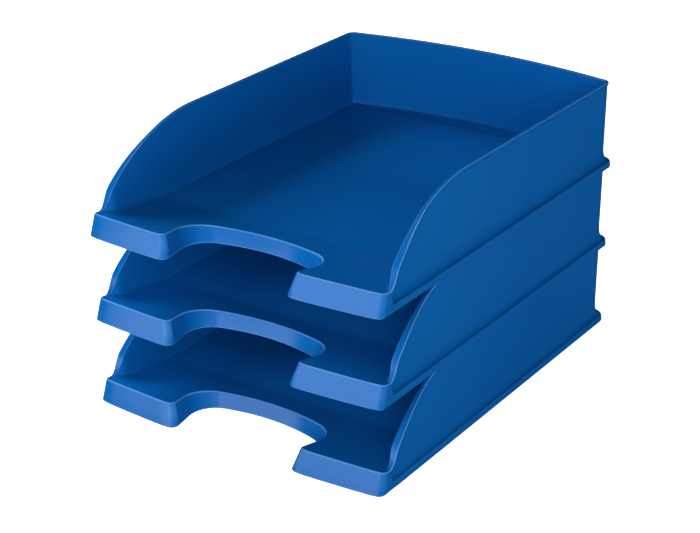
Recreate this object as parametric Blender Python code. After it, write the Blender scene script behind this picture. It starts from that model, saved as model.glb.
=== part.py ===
"""Stack of three one-piece letter trays, metres, +Z up, the open front facing -Y.

Each tray is one thin-walled moulding: floor, two side walls and a back wall, a stepped
skirt round the base, a raised lip at the front with a leaning face, and a finger
cut-out in the front edge.  Its wall section changes from point to point round the
plan (deep wall at the sides and back, low leaning face at the front), so the shell is
a loft between those unlike sections.  The rim of each tray sits inside the skirt of
the tray above it, under a ledge.
"""
import math

import bmesh
import bpy
from mathutils import Vector

MM = 0.001
WELD = 0.00001           # points this close count as one, in metres
SHARP_DEGREES = 32.0

# Overall sizes, mm
WIDTH = 255.0            # over the skirt
DEPTH = 357.0            # over the bowed front and back
HEIGHT = 70.0            # skirt underside to rim
PITCH = 67.7             # one tray to the next
TOUCH_GAP = 0.3          # kept between a rim and the ledge resting on it

# Plan.  A pair is the value at the underside and at the top edge of the leaning front.
FRONT_BOW = 6.1          # sagitta of the bowed front over the full width
BACK_BOW = 15.0
FRONT_TRAVEL = (0.0, 5.7)
SIDE_TRAVEL = (0.0, 0.95)
FRONT_CORNER_R = (6.0, 5.0)
BACK_CORNER_R = 12.0
CUT_HALF_WIDTH = (52.0, 56.8)     # at CHEEK_Y
CHEEK_Y = -172.0
CHEEK_SPLAY = 9.5        # degrees; the cut-out widens inwards
CUT_APEX_Y = (-127.3, -122.3)
CUT_ARCH_R = (150.0, 150.0)
CUT_INNER_R = (20.0, 22.0)
CUT_MOUTH_R = (6.0, 4.2)

# Wall section, measured in from the skirt
WALL_INSIDE_TOP = 7.6
WALL_INSIDE_LOW = 8.8
WALL_OUTSIDE_TOP = 5.4
WALL_OUTSIDE_LOW = 6.0
BEAD_INSET = 4.7
BEAD_HEIGHT = 2.4
BEAD_MOST = 0.3          # share of a low wall's height that the bead may take
RIM_EDGE = 0.5           # rounding of the rim
SKIRT_TOP = 5.0
SKIRT_EDGE = 0.5         # rounding of the skirt's top edge
SKIRT_WALL = 2.0
COVE_TOP = 15.0
COVE_SPREAD = 1.6        # how far the cove has run out at its middle point
COVE_MIDDLE = 0.65       # how far down that middle point lies
LEDGE_INSET = 8.6
LEDGE_DRAFT = 0.4
LEDGE_Z = HEIGHT - PITCH + TOUCH_GAP
FLOOR_TOP = 8.0
FLOOR_THICK = 2.2
FLOOR_FILLET = 1.6       # floor to wall
FLOOR_FILLET_RISE = 0.8
FRONT_WALL = 2.2
RAMP_STEPS = (2.6, 2.0, 1.4, 0.8)                     # last points of the ramp, from its edge
FACE_STEPS = (0.84, 0.68, 0.52, 0.38, 0.24, 0.12)     # heights down the leaning face
INSIDE_STEPS = (0.3, 0.65)                            # heights up the inside of it

# Ramp from the floor up to the front lip
CREASE_Y = -102.0
CREASE_BLEND = 3.0
RAMP_SLOPE = 0.13

# Side walls sweep down to the front on a circle that is tangent to the rim
SWEEP_START_Y = -56.0
SWEEP_R = 131.0
SWEEP_LOWEST = 0.97      # share of the circle's radius that is used
SWEEP_FOOT = 4.0         # blend into the front lip
FOOT_RISE = 0.3          # the wall's foot stands this far above the lip
FLARE_Y = (-100.0, -156.0)
FLARE = 4.3              # outward spread of the wall's front edge at its foot
FLARE_INSIDE = 0.35      # share of that spread taken by the inner face
FLARE_FALL = 1.7         # the flare fades this many times its size down the wall
FOOT_BLEND_Y = (-162.5, -150.0)    # the leaning front's section gives way to the wall's

# Stations round each stretch of the outline
ARCH_STEPS = 5
INNER_CORNER_STEPS = 6
CHEEK_STEPS = 3
MOUTH_STEPS = 5
FRONT_STEPS = 5
CORNER_STEPS = 5
POST_STEPS = 2
FOOT_STEPS = 4
SWEEP_STEPS = 12
BACK_STEPS = 5

TRAY_BLUE = (0.012, 0.105, 0.335, 1.0)


def smooth(t):
    t = min(1.0, max(0.0, t))
    return t * t * (3.0 - 2.0 * t)


def soft_max(a, b, width):
    """The larger of a and b, with the corner between them rounded over width."""
    h = max(0.0, 1.0 - abs(a - b) / width)
    return max(a, b) + 0.25 * width * h * h


def floor_z(y):
    """Height of the floor's top surface at this depth."""
    ramp = FLOOR_TOP + RAMP_SLOPE * (CREASE_Y - y)
    return soft_max(FLOOR_TOP, ramp, 4.0 * RAMP_SLOPE * CREASE_BLEND)


def rim_z(y):
    """Height of the wall's top edge at this depth."""
    if y >= SWEEP_START_Y:
        return HEIGHT
    d = min(SWEEP_START_Y - y, SWEEP_R * SWEEP_LOWEST)
    drop = SWEEP_R - math.sqrt(SWEEP_R ** 2 - d ** 2)
    return soft_max(HEIGHT - drop, floor_z(y) + FOOT_RISE, SWEEP_FOOT)


def arc(cx, cy, r, a0, a1, n, first=True):
    """(point, outward normal) along an arc, angles in degrees."""
    out = []
    for i in range(0 if first else 1, n + 1):
        a = math.radians(a0 + (a1 - a0) * i / n)
        away = Vector((math.cos(a), math.sin(a)))
        out.append((Vector((cx, cy)) + away * r, away))
    return out


def half_outline(level):
    """Right half of the plan, from the cut-out's apex to the back's middle.

    It comes as two runs of (point, normal): the leaning front as far as the outer corner,
    and the walled rest.  level 0 is the outline at the underside, 1 the outline at the
    height of the front's top edge.  Both have the same number of stations.
    """
    half = WIDTH / 2
    foremost = CUT_HALF_WIDTH[0] + CUT_MOUTH_R[0]

    def front_y(x):
        bow = 4 * FRONT_BOW * (x * x - foremost ** 2) / WIDTH ** 2
        return -DEPTH / 2 + bow + FRONT_TRAVEL[level]

    def front_slope(x):
        return 8 * FRONT_BOW * x / WIDTH ** 2

    def back_y(x):
        return DEPTH / 2 - BACK_BOW * (x / half) ** 2

    # Finger cut-out: arch, inner corner, splayed cheek, rounded mouth
    arch_r, inner_r, mouth_r = CUT_ARCH_R[level], CUT_INNER_R[level], CUT_MOUTH_R[level]
    splay = math.radians(CHEEK_SPLAY)
    along = Vector((math.sin(splay), math.cos(splay)))
    across = Vector((math.cos(splay), -math.sin(splay)))
    cheek = Vector((CUT_HALF_WIDTH[level], CHEEK_Y))
    arch = Vector((0.0, CUT_APEX_Y[level] - arch_r))
    near = cheek - across * inner_r - arch
    ahead = near.dot(along)
    reach = math.sqrt(ahead ** 2 + (arch_r - inner_r) ** 2 - near.length_squared) - ahead
    inner = arch + near + along * reach
    join = math.degrees(math.atan2(inner.y - arch.y, inner.x))
    mouth = cheek + across * mouth_r
    turn = math.degrees(math.atan(front_slope(mouth.x)))
    mouth += along * ((front_y(mouth.x) + mouth_r - mouth.y) / along.y)
    front = [(p, -n) for p, n in arc(arch.x, arch.y, arch_r, 90, join, ARCH_STEPS)]
    front += [(p, -n) for p, n in arc(inner.x, inner.y, inner_r, join, -CHEEK_SPLAY,
                                      INNER_CORNER_STEPS, False)]
    first, last = inner + across * inner_r, mouth - across * mouth_r
    for i in range(1, CHEEK_STEPS):
        front.append((first + (last - first) * (i / CHEEK_STEPS), -across))
    front += arc(mouth.x, mouth.y, mouth_r, 180 - CHEEK_SPLAY, 270 + turn, MOUTH_STEPS)

    # Bowed front and its outer corner
    corner_r = FRONT_CORNER_R[level]
    side_x = half - SIDE_TRAVEL[level]
    corner_x = side_x - corner_r
    turn = math.degrees(math.atan(front_slope(corner_x)))
    corner_y = front_y(corner_x) + corner_r
    end = corner_x + corner_r * math.sin(math.radians(turn))
    for i in range(1, FRONT_STEPS):
        x = mouth.x + (end - mouth.x) * i / FRONT_STEPS
        front.append((Vector((x, front_y(x))), Vector((front_slope(x), -1)).normalized()))
    front += arc(corner_x, corner_y, corner_r, -90 + turn, 0, CORNER_STEPS)

    # Side: the post behind the corner, the foot of the wall, the sweep
    foot_start, foot_end = FOOT_BLEND_Y
    wall = []
    for first, last, steps in ((corner_y, foot_start, POST_STEPS),
                               (foot_start, foot_end, FOOT_STEPS),
                               (foot_end, SWEEP_START_Y, SWEEP_STEPS)):
        for i in range(1, steps + 1):
            y = first + (last - first) * i / steps
            wall.append((Vector((side_x, y)), Vector((1, 0))))

    # Back corner and bowed back
    back_x = half - BACK_CORNER_R
    turn = math.degrees(math.atan(2 * BACK_BOW * back_x / half ** 2))
    wall += arc(back_x, back_y(back_x) - BACK_CORNER_R, BACK_CORNER_R, 0, 90 - turn,
                CORNER_STEPS)
    end = back_x + BACK_CORNER_R * math.sin(math.radians(turn))
    for i in range(1, BACK_STEPS + 1):
        x = end * (1 - i / BACK_STEPS)
        away = Vector((2 * BACK_BOW * x / half ** 2, 1))
        wall.append((Vector((x, back_y(x))), away.normalized()))
    return front, wall


def full_outline():
    """(foot, top, normal, walled) all the way round, anticlockwise."""
    right = []
    feet, tops = half_outline(0), half_outline(1)
    for walled in (False, True):
        for (foot, normal), (top, _) in zip(feet[walled], tops[walled]):
            right.append((foot, top, normal, walled))

    def mirrored(v):
        return Vector((-v.x, v.y))

    left = [(mirrored(foot), mirrored(top), mirrored(normal), walled)
            for foot, top, normal, walled in reversed(right[1:-1])]
    return right + left


def wall_section(foot, normal):
    """Wall, cove, skirt and ledge, from the floor round to the underside."""
    y = foot.y
    rim = rim_z(y)
    low = floor_z(y)
    flare = FLARE * smooth((FLARE_Y[0] - y) / (FLARE_Y[0] - FLARE_Y[1]))
    inside = WALL_INSIDE_TOP - FLARE_INSIDE * flare
    bead = BEAD_INSET - flare
    under = rim - min(BEAD_HEIGHT, BEAD_MOST * (rim - SKIRT_TOP))
    neck = max(SKIRT_TOP + 2.0 * RIM_EDGE, under - RIM_EDGE - FLARE_FALL * flare)
    cove = min(COVE_TOP, neck - RIM_EDGE)
    step = LEDGE_INSET + LEDGE_DRAFT
    section = [
        (WALL_INSIDE_LOW + FLOOR_FILLET, low),
        (WALL_INSIDE_LOW, low + FLOOR_FILLET_RISE),
        (inside, max(low + 1.5 * FLOOR_FILLET_RISE, rim - RIM_EDGE)),
        (inside - RIM_EDGE, rim),
        (bead + RIM_EDGE, rim),
        (bead, rim - RIM_EDGE),
        (bead, under),
        (WALL_OUTSIDE_TOP, neck),
        (WALL_OUTSIDE_LOW, cove),
        (WALL_OUTSIDE_LOW - COVE_SPREAD, cove - COVE_MIDDLE * (cove - SKIRT_TOP)),
        (3.0 * SKIRT_EDGE, SKIRT_TOP + SKIRT_EDGE),
        (SKIRT_EDGE, SKIRT_TOP - SKIRT_EDGE),
        (0.0, 0.0),
        (SKIRT_WALL, 0.0),
        (SKIRT_WALL, LEDGE_Z),
        (LEDGE_INSET, LEDGE_Z),
        (step, low - FLOOR_THICK),
    ]
    return [Vector((foot.x - normal.x * inset, foot.y - normal.y * inset, z))
            for inset, z in section]


def front_section(foot, top, normal):
    """Ramp's edge, leaning face and inside of the lip, in the same order as the wall."""
    away = Vector((normal.x, normal.y, 0.0))

    def over(place):
        return Vector((place.x, place.y, floor_z(place.y)))

    edge = over(top)
    base = Vector((foot.x, foot.y, 0.0))
    inner = base - away * FRONT_WALL
    face = edge - base
    section = [over(edge - away * d) for d in RAMP_STEPS]
    section += [over(edge - away * RIM_EDGE / 2), edge - face.normalized() * RIM_EDGE]
    section += [base + face * s for s in FACE_STEPS]
    section += [base, inner]
    rise = 1.0 - FLOOR_THICK / edge.z
    section += [inner + face * (rise * s) for s in INSIDE_STEPS]
    last = over(inner + face * rise)
    section.append(Vector((last.x, last.y, last.z - FLOOR_THICK)))
    return section


def section_at(foot, top, normal, walled):
    """The section at one station, blended between front and wall along the foot."""
    if not walled:
        return front_section(foot, top, normal)
    start, end = FOOT_BLEND_Y
    wall = wall_section(foot, normal)
    if foot.y >= end:
        return wall
    share = smooth((foot.y - start) / (end - start))
    front = front_section(foot, top, normal)
    return [a + (b - a) * share for a, b in zip(front, wall)]


def close_floor(bm, loop, drop):
    """Fills the loop with a sheet that follows the ramp, split where the ramp bends."""
    face = bm.faces.new(loop)
    geom = [face] + list(face.edges) + list(face.verts)
    for y in (CREASE_Y + CREASE_BLEND, CREASE_Y, CREASE_Y - CREASE_BLEND):
        done = bmesh.ops.bisect_plane(bm, geom=geom, dist=WELD,
                                      plane_co=(0, y * MM, 0), plane_no=(0, 1, 0))
        geom = done["geom"]
    faces = [g for g in geom if isinstance(g, bmesh.types.BMFace)]
    for vert in {v for f in faces for v in f.verts}:
        vert.co.z = (floor_z(vert.co.y / MM) - drop) * MM
    bmesh.ops.triangulate(bm, faces=faces, ngon_method='BEAUTY')


def tray_mesh():
    """One tray as a closed shell, lofted round its outline and closed by floor faces."""
    bm = bmesh.new()
    rings = []
    for station in full_outline():
        rings.append([bm.verts.new(place * MM) for place in section_at(*station)])
    for here, after in zip(rings, rings[1:] + rings[:1]):
        for k in range(len(here) - 1):
            bm.faces.new((here[k], here[k + 1], after[k + 1], after[k]))
    close_floor(bm, [ring[0] for ring in rings], 0.0)
    close_floor(bm, [ring[-1] for ring in reversed(rings)], FLOOR_THICK)
    bmesh.ops.recalc_face_normals(bm, faces=bm.faces[:])
    mesh = bpy.data.meshes.new("letter_tray_shell")
    bm.to_mesh(mesh)
    bm.free()
    mesh.shade_smooth()
    mesh.set_sharp_from_angle(angle=math.radians(SHARP_DEGREES))
    return mesh


def moulded_blue():
    """Pigmented polystyrene with a soft sheen."""
    material = bpy.data.materials.new("tray_blue")
    material.use_nodes = True
    shader = material.node_tree.nodes["Principled BSDF"]
    shader.inputs["Base Color"].default_value = TRAY_BLUE
    shader.inputs["Roughness"].default_value = 0.32
    shader.inputs["IOR"].default_value = 1.5
    return material


def build():
    for item in list(bpy.data.objects):
        bpy.data.objects.remove(item, do_unlink=True)
    collection = bpy.data.collections.new("letter_tray_stack")
    bpy.context.scene.collection.children.link(collection)
    mesh = tray_mesh()
    mesh.materials.append(moulded_blue())
    for level, name in enumerate(("tray_bottom", "tray_middle", "tray_top")):
        tray = bpy.data.objects.new(name, mesh)
        tray.location.z = level * PITCH * MM
        collection.objects.link(tray)


build()
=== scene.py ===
"""Stack of three blue letter trays: the fine surface, plastic, light and camera.

Each tray is one moulding.  Its shell is lofted round the plan outline between two unlike
sections: the deep wall with its bead, cove, skirt and ledge, and the low leaning front.
Lengths are millimetres until a vertex is made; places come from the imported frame.
"""
import math

import bmesh
import bpy
from mathutils import Matrix, Vector


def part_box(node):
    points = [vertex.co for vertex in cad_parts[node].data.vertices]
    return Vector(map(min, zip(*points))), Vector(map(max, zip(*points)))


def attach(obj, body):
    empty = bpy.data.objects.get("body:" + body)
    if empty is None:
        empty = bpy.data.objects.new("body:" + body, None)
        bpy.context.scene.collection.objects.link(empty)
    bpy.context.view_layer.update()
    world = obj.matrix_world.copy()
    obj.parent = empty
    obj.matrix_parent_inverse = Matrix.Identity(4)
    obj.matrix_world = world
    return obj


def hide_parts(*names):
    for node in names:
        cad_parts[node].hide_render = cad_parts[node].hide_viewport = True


MM = 0.001
TRAYS = ("tray_bottom", "tray_middle", "tray_top")

# Plan of one tray.  A pair is the value at the underside and at the front's top edge.
FRONT_BOW = 6.1
BACK_BOW = 15.0
FRONT_TRAVEL = (0.0, 5.7)
END_RUN = 6.5            # the face turns back a little over this length at its ends
END_LIFT = 0.5
SIDE_TRAVEL = (0.0, 0.95)
FRONT_CORNER_R = (5.2, 4.2)
BACK_CORNER_R = 12.0
CUT_HALF_WIDTH = (52.0, 56.8)       # at CHEEK_Y
CHEEK_Y = -172.0
CHEEK_SPLAY = 9.5        # degrees; the cut-out widens inwards
CUT_APEX_Y = (-127.3, -122.3)
CUT_ARCH_R = 150.0
CUT_INNER_R = (20.0, 22.0)
CUT_MOUTH_R = (6.0, 4.2)

# Wall section, measured in from the skirt's outside
WALL_INSIDE_TOP = 7.6
WALL_INSIDE_LOW = 8.3
WALL_OUTSIDE_TOP = 5.4
WALL_OUTSIDE_LOW = 6.0
BEAD_INSET = 4.7
BEAD_HEIGHT = 2.4
BEAD_SHARE = 0.3         # most of the wall above the skirt that the bead may take
NECK_DROP = 0.5          # from the bead's underside to the wall
NECK_CLEAR = 1.2         # least height of that point above the cove
SKIRT_TOP = 4.9
SKIRT_DRAFT = 0.3
SKIRT_WALL = 2.0
LEDGE_INSET = 8.6
LEDGE_Z = 2.6
LEDGE_LEAN = 0.4         # the wall over the ledge leans in by this
COVE_Z = 5.4
COVE_RISE = 9.4
COVE_REACH = 4.2
FLOOR_TOP = 8.0
FLOOR_THICK = 2.2
FLOOR_FILLET = 2.6
FLOOR_MARGIN = 4.5       # floor that the loft makes, inside the wall's foot
FRONT_WALL = 2.2

# How far along each leg a section's corner is rounded
RIM_ROUND = 0.7
BEAD_ROUND = 0.8
SKIRT_ROUND = 1.2
EDGE_ROUND = 0.4
LEDGE_ROUND = 0.3
LIP_ROUND = 1.0
HEEL_ROUND = (0.9, 0.8)  # up the face, and along the underside
LEG_SHARE = 0.96         # most of a leg that its two roundings may take
SHARPEST = 0.2           # least weight of a corner on its rounding

# Ramp
CREASE_Y = -102.0
CREASE_BLEND = 1.2
RAMP_SLOPE = 0.13
RAMP_MARGIN = (3.0, 1.3)  # ramp that the loft makes, in from the front's top edge
FACE_SPAN = (0.9, 0.5)    # where the face's own points lie, as shares of its height
HEEL_LEG = 0.4
INSIDE_SPAN = (0.1, 0.8)  # the same, behind the face and up to the floor's underside

# Sweep of the side wall
SWEEP_START_Y = -56.0
SWEEP_R = 131.0
SWEEP_LOWEST = 0.97
SWEEP_FOOT = 4.0
FOOT_RISE = 0.3
FLARE_Y = (-100.0, -156.0)
FLARE = 4.3
FLARE_INSIDE = 0.35
FLARE_FALL = 1.7         # how far down the wall the flare fades, as a multiple of it
FOOT_BLEND_Y = (-162.5, -150.0)     # wall runs out into the corner post here
RECESS_BLEND_Y = (-159.2, -156.6)   # the cove ends more abruptly, against the post

# Points in each stretch of a section, the same for both sections
COUNTS = (1, 7, 5, 7, 4, 6, 10, 7, 5, 4, 3, 4, 1)
RECESS_STRETCHES = (5, 6, 7)
# Painted highlights: shares of the paler edge blue painted on each stretch's rounding,
# standing in for the glints on the rounded edges
WALL_HIGHLIGHT = {2: 0.4, 3: 0.75, 7: 0.1, 8: 0.2}
FRONT_HIGHLIGHT = {3: 0.9, 8: 0.7}
FACE_STRETCHES = (4, 5, 6, 7)
TURN_HIGHLIGHT = (0.25, 0.1)   # the same painted highlight all down the mouth's and the corner's roundings
TIGHT_TURN = (0.1, 0.16)  # outline curvature, per mm, where that painted highlight begins and is full

# Steps between stations of the outline
ARCH_STEPS = 16
INNER_STEPS = 16
CHEEK_STEPS = 6
ROUNDING_STEPS = 12
FRONT_STEPS = 40
SIDE_STOPS = (           # where each part of the side ends, and its steps
    (FOOT_BLEND_Y[0], 3), (-160.0, 4), (-156.0, 10), (-146.0, 10),
    (FLARE_Y[0], 24), (SWEEP_START_Y, 16),
)
STRAIGHT_STEPS = 10
BACK_CORNER_STEPS = 14
BACK_STEPS = 20

# Depths where the floor's sheets are cut, so that they can bend
CREASE_CUTS = 4          # to each side of the crease
FLOOR_CUTS = (-125.0, -115.0, -60.0, 0.0, 60.0, 120.0)

# Plastic
IOR = 1.5
SPECULAR = 0.22
PIGMENT = (              # place on the ramp, and colour
    (0.3, (0.0016, 0.115, 0.415, 1.0)),
    (0.7, (0.0024, 0.126, 0.440, 1.0)),
)
# paler blue painted on the rounded edges as their highlight
EDGE_HIGHLIGHT_BLUE = (0.11, 0.34, 0.74, 1.0)
ROUGHNESS = (0.15, 0.2)
GRAIN_STRENGTH = 0.06
GRAIN_DEPTH = 0.0002     # metres

# Studio, in metres: name, azimuth, elevation, distance, size, watts, aim, what it shows on
MIDDLE = (0.0, 0.0, 0.08)
FRONT = (0.05, -0.12, 0.08)
SOFTBOXES = (
    ("back_left", -108, 31, 1.6, (0.9, 0.9), 26.0, MIDDLE, "body"),
    ("front", 22, 14, 1.6, (0.9, 0.3), 9.0, MIDDLE, "body"),
    ("front_right", 45, 20, 1.6, (0.9, 0.9), 5.6, MIDDLE, "body"),
    ("right_low", 90, 8, 1.6, (0.9, 0.3), 4.2, MIDDLE, "body"),
    ("front_near", -20, 30, 0.6, (0.3, 0.3), 1.4, FRONT, "body"),
    ("face_gloss", -17, 7, 1.6, (1.7, 0.6), 12.0, MIDDLE, "gloss"),
    ("top_gloss", -20, 80, 1.6, (0.7, 0.7), 14.0, MIDDLE, "gloss"),
)
WHITE = (1.0, 1.0, 1.0, 1.0)
FLOOR_COLOUR = (0.9, 0.9, 0.9, 1.0)
FLOOR_SEEN = 0.97        # floor's own brightness to the camera, and to the trays
FLOOR_GLOW = 0.26
FLOOR_HALF = 6.0         # metres
FLOOR_DROP = 0.0004

# Camera, front right and above: degrees, metres and the lens in millimetres
CAMERA_YAW = 34.419
CAMERA_PITCH = 24.419
CAMERA_ROLL = -0.501
CAMERA_PLACE = (0.69412, -1.03577, 0.64310)
CAMERA_SENSOR = 36.0
CAMERA_LENS = 90.7


def smooth(t):
    t = min(1.0, max(0.0, t))
    return t * t * (3.0 - 2.0 * t)


def soft_max(a, b, width):
    h = max(0.0, 1.0 - abs(a - b) / width)
    return max(a, b) + 0.25 * width * h * h


def floor_z(y):
    """Height of the floor's top surface at this depth: flat, then the ramp to the lip."""
    ramp = FLOOR_TOP + RAMP_SLOPE * (CREASE_Y - y)
    return soft_max(FLOOR_TOP, ramp, 4.0 * RAMP_SLOPE * CREASE_BLEND)


def rim_z(y, height):
    """Height of the wall's top edge at this depth."""
    if y >= SWEEP_START_Y:
        return height
    d = min(SWEEP_START_Y - y, SWEEP_R * SWEEP_LOWEST)
    drop = SWEEP_R - math.sqrt(SWEEP_R ** 2 - d ** 2)
    return soft_max(height - drop, floor_z(y) + FOOT_RISE, SWEEP_FOOT)


def arc(cx, cy, r, a0, a1, n, first=True):
    """(point, outward normal) along an arc, angles in degrees."""
    out = []
    for i in range(0 if first else 1, n + 1):
        a = math.radians(a0 + (a1 - a0) * i / n)
        away = Vector((math.cos(a), math.sin(a)))
        out.append((Vector((cx, cy)) + away * r, away))
    return out


def half_outline(level, width, depth):
    """Right half of the plan, from the cut-out's apex to the back's middle.

    It comes as two runs of (point, normal): the leaning front as far as the outer corner,
    and the walled rest.  level 0 is the outline at the underside, 1 the outline at the
    height of the front's top edge.  Both have the same number of stations.
    """
    half = width / 2
    foremost = CUT_HALF_WIDTH[0] + CUT_MOUTH_R[0]
    side_x = half - SIDE_TRAVEL[level]
    corner_r = FRONT_CORNER_R[level]
    corner_x = side_x - corner_r

    # Centres of the cut-out's inner corner and rounded mouth
    arch_r, inner_r, mouth_r = CUT_ARCH_R, CUT_INNER_R[level], CUT_MOUTH_R[level]
    splay = math.radians(CHEEK_SPLAY)
    along = Vector((math.sin(splay), math.cos(splay)))
    across = Vector((math.cos(splay), -math.sin(splay)))
    cheek = Vector((CUT_HALF_WIDTH[level], CHEEK_Y))
    arch = Vector((0.0, CUT_APEX_Y[level] - arch_r))
    near = cheek - across * inner_r - arch
    ahead = near.dot(along)
    reach = math.sqrt(ahead ** 2 + (arch_r - inner_r) ** 2 - near.length_squared) - ahead
    inner = arch + near + along * reach
    join = math.degrees(math.atan2(inner.y - arch.y, inner.x))
    mouth = cheek + across * mouth_r

    def turned(x):
        """How far x is into the face's two ends, each as a share of END_RUN."""
        return (max(0.0, 1.0 - (x - mouth.x) / END_RUN),
                max(0.0, 1.0 - (corner_x - x) / END_RUN))

    def front_y(x):
        bow = 4 * FRONT_BOW * (x * x - foremost ** 2) / width ** 2
        start, end = turned(x)
        return -depth / 2 + bow + FRONT_TRAVEL[level] + END_LIFT * (start ** 2 + end ** 2)

    def front_slope(x):
        start, end = turned(x)
        return 8 * FRONT_BOW * x / width ** 2 + 2 * END_LIFT * (end - start) / END_RUN

    def back_y(x):
        return depth / 2 - BACK_BOW * (x / half) ** 2

    mouth += along * ((front_y(mouth.x) + mouth_r - mouth.y) / along.y)

    # Finger cut-out: arch, inner corner, splayed cheek, rounded mouth
    out = [(p, -n) for p, n in arc(arch.x, arch.y, arch_r, 90, join, ARCH_STEPS)]
    out += [(p, -n) for p, n in arc(inner.x, inner.y, inner_r, join, -CHEEK_SPLAY,
                                    INNER_STEPS, False)]
    first, last = inner + across * inner_r, mouth - across * mouth_r
    for i in range(1, CHEEK_STEPS):
        out.append((first + (last - first) * (i / CHEEK_STEPS), -across))
    turn = math.degrees(math.atan(front_slope(mouth.x)))
    out += arc(mouth.x, mouth.y, mouth_r, 180 - CHEEK_SPLAY, 270 + turn, ROUNDING_STEPS)

    # Bowed front and its outer corner
    turn = math.degrees(math.atan(front_slope(corner_x)))
    corner_y = front_y(corner_x) + corner_r
    start = mouth.x + mouth_r * math.sin(math.atan(front_slope(mouth.x)))
    end = corner_x + corner_r * math.sin(math.radians(turn))
    for i in range(1, FRONT_STEPS):
        x = start + (end - start) * i / FRONT_STEPS
        out.append((Vector((x, front_y(x))), Vector((front_slope(x), -1)).normalized()))
    out += arc(corner_x, corner_y, corner_r, -90 + turn, 0, ROUNDING_STEPS)
    front, out = out, []

    # Side: the post behind the corner, the foot of the wall, the sweep, the straight
    first = corner_y
    for last, steps in SIDE_STOPS + ((back_y(half) - BACK_CORNER_R, STRAIGHT_STEPS),):
        for i in range(1, steps + 1):
            y = first + (last - first) * i / steps
            out.append((Vector((side_x, y)), Vector((1, 0))))
        first = last
    out.pop()

    # Back corner and bowed back
    back_x = half - BACK_CORNER_R
    turn = math.degrees(math.atan(2 * BACK_BOW * back_x / half ** 2))
    out += arc(back_x, back_y(back_x) - BACK_CORNER_R, BACK_CORNER_R, 0, 90 - turn,
               BACK_CORNER_STEPS)
    end = back_x + BACK_CORNER_R * math.sin(math.radians(turn))
    for i in range(1, BACK_STEPS + 1):
        x = end * (1 - i / BACK_STEPS)
        away = Vector((2 * BACK_BOW * x / half ** 2, 1))
        out.append((Vector((x, back_y(x))), away.normalized()))
    return front, out


def full_outline(width, depth):
    """(foot, top, normal, walled) all the way round, anticlockwise."""
    right = []
    feet, tops = half_outline(0, width, depth), half_outline(1, width, depth)
    for walled in (False, True):
        for (foot, normal), (top, _) in zip(feet[walled], tops[walled]):
            right.append((foot, top, normal, walled))

    def mirrored(v):
        return Vector((-v.x, v.y))

    left = [(mirrored(foot), mirrored(top), mirrored(normal), walled)
            for foot, top, normal, walled in reversed(right[1:-1])]
    return right + left


def rounded(corners):
    """Points along a path through corners, each (place, before, after, count).

    before and after are how far along the two legs the rounding starts and ends.
    """
    places = [c[0] for c in corners]
    before = [c[1] for c in corners]
    after = [c[2] for c in corners]
    for i in range(len(corners) - 1):
        leg = (places[i + 1] - places[i]).length
        asked = after[i] + before[i + 1]
        if asked > LEG_SHARE * leg:
            scale = LEG_SHARE * leg / asked
            after[i] *= scale
            before[i + 1] *= scale
    out = []
    for i, (place, _, _, count) in enumerate(corners):
        if count == 1:
            out.append([place])
            continue
        back = (places[i - 1] - place).normalized()
        on = (places[i + 1] - place).normalized()
        a, b = place + back * before[i], place + on * after[i]
        weight = max(SHARPEST, math.sqrt(max(0.0, (1.0 - back.dot(on)) / 2.0)))
        run = []
        for k in range(count):
            t = k / (count - 1)
            u, v, w = (1 - t) ** 2, 2 * t * (1 - t) * weight, t * t
            run.append((a * u + place * v + b * w) / (u + v + w))
        out.append(run)
    return out


def spread(a, b, count):
    return [a + (b - a) * (k / (count - 1)) for k in range(count)]


def wall_section(foot, normal, height):
    """The deep wall's section in space, as one list of points per stretch."""
    y = foot.y
    rim = rim_z(y, height)
    low = floor_z(y)
    flare = FLARE * smooth((FLARE_Y[0] - y) / (FLARE_Y[0] - FLARE_Y[1]))
    inside = WALL_INSIDE_TOP - FLARE_INSIDE * flare
    bead = BEAD_INSET - flare
    under = min(BEAD_HEIGHT, BEAD_SHARE * (rim - SKIRT_TOP))
    neck = max(COVE_Z + NECK_CLEAR, rim - under - NECK_DROP - FLARE_FALL * flare)
    fade = 0.5 + 1.2 * flare        # the flare eases in over this much more wall

    def at(inset, z):
        return Vector((foot.x - normal.x * inset, foot.y - normal.y * inset, z))

    corners = [
        (at(WALL_INSIDE_LOW + FLOOR_MARGIN, low), 0, 0),
        (at(WALL_INSIDE_LOW, low), FLOOR_FILLET, FLOOR_FILLET),
        (at(inside, rim), RIM_ROUND, RIM_ROUND),
        (at(bead, rim), BEAD_ROUND, BEAD_ROUND),
        (at(bead, rim - under), 0.4 + 0.2 * flare, 0.3 + 0.5 * flare),
        (at(WALL_OUTSIDE_TOP, neck), 0.4 + fade, 0.3 + fade),
        (at(WALL_OUTSIDE_LOW, COVE_Z), COVE_RISE, COVE_REACH),
        (at(SKIRT_DRAFT, SKIRT_TOP), SKIRT_ROUND, SKIRT_ROUND),
        (at(0, 0), EDGE_ROUND, EDGE_ROUND),
        (at(SKIRT_WALL, 0), EDGE_ROUND, EDGE_ROUND),
        (at(SKIRT_WALL, LEDGE_Z), LEDGE_ROUND, LEDGE_ROUND),
        (at(LEDGE_INSET, LEDGE_Z), EDGE_ROUND, EDGE_ROUND),
        (at(LEDGE_INSET + LEDGE_LEAN, low - FLOOR_THICK), 0, 0),
    ]
    return rounded([corner + (count,) for corner, count in zip(corners, COUNTS)])


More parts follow.
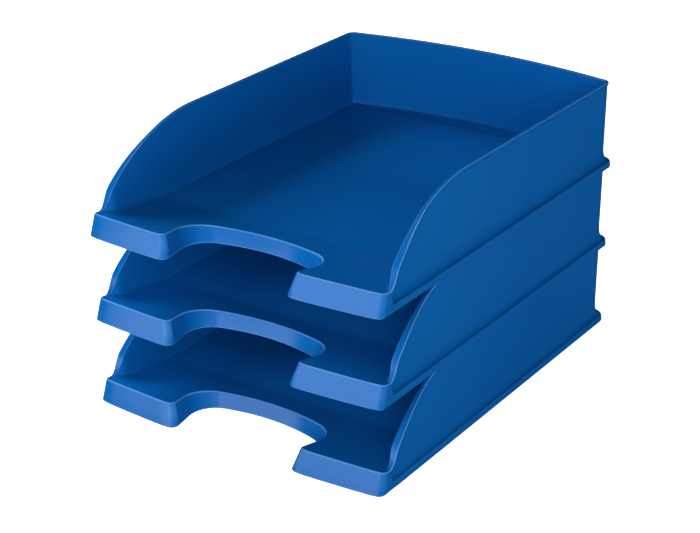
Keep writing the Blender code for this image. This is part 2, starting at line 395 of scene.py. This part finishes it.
def front_section(foot, top, normal):
    """The leaning front's section, stretch for stretch like wall_section."""
    away = Vector((normal.x, normal.y, 0.0))

    def over(place):
        return Vector((place.x, place.y, floor_z(place.y)))

    edge = over(top)
    base = Vector((foot.x, foot.y, 0.0))
    inner = base - away * FRONT_WALL
    face = edge - base

    far, near = RAMP_MARGIN
    ramp = [over(edge - away * d) for d in spread(far, near, sum(COUNTS[:3]))]
    lip = rounded([(ramp[-1], 0, 0, 1), (edge, LIP_ROUND, LIP_ROUND, COUNTS[3]),
                   (base, 0, 0, 1)])[1]
    high, low = FACE_SPAN
    down = [base + face * s for s in spread(high, low, sum(COUNTS[4:8]))]
    leg = face * HEEL_LEG
    heel = rounded([(base + leg, 0, 0, 1), (base, *HEEL_ROUND, COUNTS[8]),
                    (inner, EDGE_ROUND, EDGE_ROUND, COUNTS[9]), (inner + leg, 0, 0, 1)])
    rise = 1.0 - FLOOR_THICK / edge.z
    low, high = INSIDE_SPAN
    inside = [inner + face * s for s in spread(low, high * rise, sum(COUNTS[10:12]))]
    last = over(inner + face * rise)
    last.z -= FLOOR_THICK

    out, points = [], ramp + lip + down + heel[1] + heel[2] + inside + [last]
    for count in COUNTS:
        out.append(points[:count])
        points = points[count:]
    return out


def ring_at(foot, top, normal, walled, height):
    """The section at one station, blended between front and wall along the foot."""
    start, end = FOOT_BLEND_Y
    if not walled:
        return [p for run in front_section(foot, top, normal) for p in run]
    if foot.y >= end:
        return [p for run in wall_section(foot, normal, height) for p in run]
    wide = smooth((foot.y - start) / (end - start))
    start, end = RECESS_BLEND_Y
    sharp = smooth((foot.y - start) / (end - start))
    front = front_section(foot, top, normal)
    wall = wall_section(foot, normal, height)
    ring = []
    for k, (a_run, b_run) in enumerate(zip(front, wall)):
        share = sharp if k in RECESS_STRETCHES else wide
        ring += [a + (b - a) * share for a, b in zip(a_run, b_run)]
    return ring


def close_floor(bm, loop, drop):
    """Fills the loop with a sheet that follows floor_z, lowered by drop."""
    face = bm.faces.new(loop)
    geom = [face] + list(face.edges) + list(face.verts)
    cuts = [CREASE_Y + 1.1 * CREASE_BLEND * k for k in range(-CREASE_CUTS, CREASE_CUTS + 1)]
    for y in cuts + list(FLOOR_CUTS):
        done = bmesh.ops.bisect_plane(bm, geom=geom, dist=1e-7,
                                      plane_co=(0, y * MM, 0), plane_no=(0, 1, 0))
        geom = done["geom"]
    faces = [g for g in geom if isinstance(g, bmesh.types.BMFace)]
    rim = set(loop)
    for vert in {v for f in faces for v in f.verts} - rim:
        vert.co.z = (floor_z(vert.co.y / MM) - drop) * MM
    bmesh.ops.triangulate(bm, faces=faces, ngon_method='BEAUTY')


def painted_highlights(walled, face):
    """How far each point of a section is into a rounded edge, as the share of paler blue
    painted there as that edge's highlight.
    """
    most = WALL_HIGHLIGHT if walled else FRONT_HIGHLIGHT
    out = []
    for k, count in enumerate(COUNTS):
        for i in range(count):
            share = math.sin(math.pi * i / max(1, count - 1)) * most.get(k, 0.0)
            out.append(max(share, face) if k in FACE_STRETCHES else share)
    return out


def tray_mesh(width, depth, height):
    bm = bmesh.new()
    # the edge layer holds each vertex's share of painted highlight
    edge = bm.verts.layers.float.new("edge")
    rings = []
    stations = full_outline(width, depth)
    for i, (foot, top, normal, walled) in enumerate(stations):
        before, after = stations[i - 1], stations[(i + 1) % len(stations)]
        bend = before[2].angle(after[2]) / (after[0] - before[0]).length
        start, full = TIGHT_TURN
        # painted highlight down the face where the outline turns tightly: the mouth and the
        # outer corner
        turn_highlight = 0.0 if walled else smooth((bend - start) / (full - start))
        turn_highlight *= TURN_HIGHLIGHT[abs(foot.x) > width / 4]
        ring = ring_at(foot, top, normal, walled, height)
        verts = [bm.verts.new(p * MM) for p in ring]
        for vert, share in zip(verts, painted_highlights(walled, turn_highlight)):
            vert[edge] = share
        rings.append(verts)
    for here, after in zip(rings, rings[1:] + rings[:1]):
        for k in range(len(here) - 1):
            bm.faces.new((here[k], here[k + 1], after[k + 1], after[k]))
    close_floor(bm, [ring[0] for ring in rings], 0.0)
    close_floor(bm, [ring[-1] for ring in reversed(rings)], FLOOR_THICK)
    bmesh.ops.recalc_face_normals(bm, faces=bm.faces[:])
    mesh = bpy.data.meshes.new("letter_tray_fine")
    bm.to_mesh(mesh)
    bm.free()
    mesh.shade_smooth()
    return mesh


def node_maker(owner):
    """Two shorthands for the node tree of a material or world: make a node, link two."""
    tree = owner.node_tree

    def make(kind, **values):
        node = tree.nodes.new(kind)
        for name, value in values.items():
            if name in node.inputs:
                node.inputs[name].default_value = value
            else:
                setattr(node, name, value)
        return node

    def join(source, output, target, socket):
        tree.links.new(source.outputs[output], target.inputs[socket])

    return make, join


def moulded_plastic():
    """Pigmented polystyrene: satin, faintly mottled, with a fine spark-eroded grain, and a
    painted highlight of paler blue along the rounded edges.
    """
    material = bpy.data.materials.new("tray_plastic")
    material.use_nodes = True
    shader = material.node_tree.nodes["Principled BSDF"]
    shader.inputs["IOR"].default_value = IOR
    shader.inputs["Specular IOR Level"].default_value = SPECULAR
    make, join = node_maker(material)
    place = make("ShaderNodeTexCoord")

    cloud = make("ShaderNodeTexNoise", Scale=9.0, Detail=3.0, Roughness=0.5)
    join(place, "Object", cloud, "Vector")
    tint = make("ShaderNodeValToRGB")
    for stop, (position, colour) in zip(tint.color_ramp.elements, PIGMENT):
        stop.position, stop.color = position, colour
    join(cloud, "Fac", tint, "Fac")

    # Painted highlight: the rounded edges are mixed towards the paler edge blue by their
    # edge share
    rounding = make("ShaderNodeAttribute", attribute_name="edge")
    highlighted = make("ShaderNodeMixRGB", Color2=EDGE_HIGHLIGHT_BLUE)
    join(rounding, "Fac", highlighted, "Fac")
    join(tint, "Color", highlighted, "Color1")
    join(highlighted, "Color", shader, "Base Color")

    sheen = make("ShaderNodeTexNoise", Scale=28.0, Detail=4.0, Roughness=0.6)
    join(place, "Object", sheen, "Vector")
    smoothest, roughest = ROUGHNESS
    rough = make("ShaderNodeMapRange", **{"To Min": smoothest, "To Max": roughest})
    join(sheen, "Fac", rough, "Value")
    join(rough, "Result", shader, "Roughness")

    grain = make("ShaderNodeTexNoise", Scale=1400.0, Detail=2.0, Roughness=0.5)
    join(place, "Object", grain, "Vector")
    bump = make("ShaderNodeBump", Strength=GRAIN_STRENGTH, Distance=GRAIN_DEPTH)
    join(grain, "Fac", bump, "Height")
    join(bump, "Normal", shader, "Normal")
    return material


def make_trays():
    low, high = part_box("tray_bottom")
    width = (high.x - low.x) / MM
    depth = (high.y - low.y) / MM
    height = (high.z - low.z) / MM
    mesh = tray_mesh(width, depth, height)
    mesh.materials.append(moulded_plastic())
    for name in TRAYS:
        low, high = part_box(name)
        tray = bpy.data.objects.new(name + "_shell", mesh)
        tray.location = ((low.x + high.x) / 2, (low.y + high.y) / 2, low.z)
        bpy.context.scene.collection.objects.link(tray)
        flats = tray.modifiers.new("flat_faces_stay_flat", 'WEIGHTED_NORMAL')
        flats.mode = 'FACE_AREA'
        flats.weight = 50
        bpy.context.view_layer.update()
        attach(tray, name + "_body")
        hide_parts(name)


def make_floor():
    """Pale floor, bright enough to the camera to read as a white sweep."""
    mesh = bpy.data.meshes.new("studio_floor")
    bm = bmesh.new()
    bmesh.ops.create_grid(bm, x_segments=1, y_segments=1, size=FLOOR_HALF)
    bm.to_mesh(mesh)
    bm.free()
    floor = bpy.data.objects.new("studio_floor", mesh)
    floor.location.z = -FLOOR_DROP
    floor.visible_glossy = False
    bpy.context.scene.collection.objects.link(floor)
    material = bpy.data.materials.new("studio_floor")
    material.use_nodes = True
    shader = material.node_tree.nodes["Principled BSDF"]
    shader.inputs["Base Color"].default_value = FLOOR_COLOUR
    shader.inputs["Roughness"].default_value = 0.8
    shader.inputs["Specular IOR Level"].default_value = 0.0
    shader.inputs["Emission Color"].default_value = WHITE
    make, join = node_maker(material)
    seen = make("ShaderNodeLightPath")
    glow = make("ShaderNodeMapRange", **{"To Min": FLOOR_GLOW, "To Max": FLOOR_SEEN})
    join(seen, "Is Camera Ray", glow, "Value")
    join(glow, "Result", shader, "Emission Strength")
    mesh.materials.append(material)


def make_softbox(name, azimuth, elevation, distance, size, watts, aim, on):
    """Area light; azimuth 0 is in front of the trays and 90 to their right.

    on is "body" where it only lights the plastic's colour, "gloss" where it is only a
    reflection.
    """
    data = bpy.data.lights.new(name, 'AREA')
    data.shape = 'RECTANGLE'
    data.size, data.size_y = size
    data.energy = watts
    light = bpy.data.objects.new(name, data)
    turn, lift = math.radians(azimuth), math.radians(elevation)
    towards = Vector((math.sin(turn) * math.cos(lift), -math.cos(turn) * math.cos(lift),
                      math.sin(lift)))
    light.location = Vector(aim) + towards * distance
    light.rotation_euler = towards.to_track_quat('Z', 'Y').to_euler()
    light.visible_glossy = on == "gloss"
    light.visible_diffuse = on == "body"
    bpy.context.scene.collection.objects.link(light)


def make_light():
    """The softboxes, and a world that is white to the camera and dark to the trays."""
    for softbox in SOFTBOXES:
        make_softbox(*softbox)
    world = bpy.data.worlds.new("studio")
    bpy.context.scene.world = world
    world.use_nodes = True
    background = world.node_tree.nodes["Background"]
    background.inputs["Color"].default_value = WHITE
    make, join = node_maker(world)
    seen = make("ShaderNodeLightPath")
    join(seen, "Is Camera Ray", background, "Strength")


def make_camera():
    data = bpy.data.cameras.new("camera")
    data.sensor_width = CAMERA_SENSOR
    data.lens = CAMERA_LENS
    camera = bpy.data.objects.new("camera", data)
    turn = (Matrix.Rotation(math.radians(CAMERA_YAW), 4, 'Z')
            @ Matrix.Rotation(math.radians(90.0 - CAMERA_PITCH), 4, 'X')
            @ Matrix.Rotation(math.radians(CAMERA_ROLL), 4, 'Z'))
    camera.matrix_world = Matrix.Translation(CAMERA_PLACE) @ turn
    bpy.context.scene.collection.objects.link(camera)
    bpy.context.scene.camera = camera


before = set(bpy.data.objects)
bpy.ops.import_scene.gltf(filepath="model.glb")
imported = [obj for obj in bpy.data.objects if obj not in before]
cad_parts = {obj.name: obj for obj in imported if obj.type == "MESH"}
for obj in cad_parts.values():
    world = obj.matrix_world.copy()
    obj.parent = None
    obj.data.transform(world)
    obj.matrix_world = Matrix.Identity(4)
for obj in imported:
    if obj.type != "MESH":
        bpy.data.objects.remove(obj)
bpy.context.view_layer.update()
bpy.context.scene.view_settings.view_transform = 'Standard'
make_camera()
make_trays()
make_floor()
make_light()
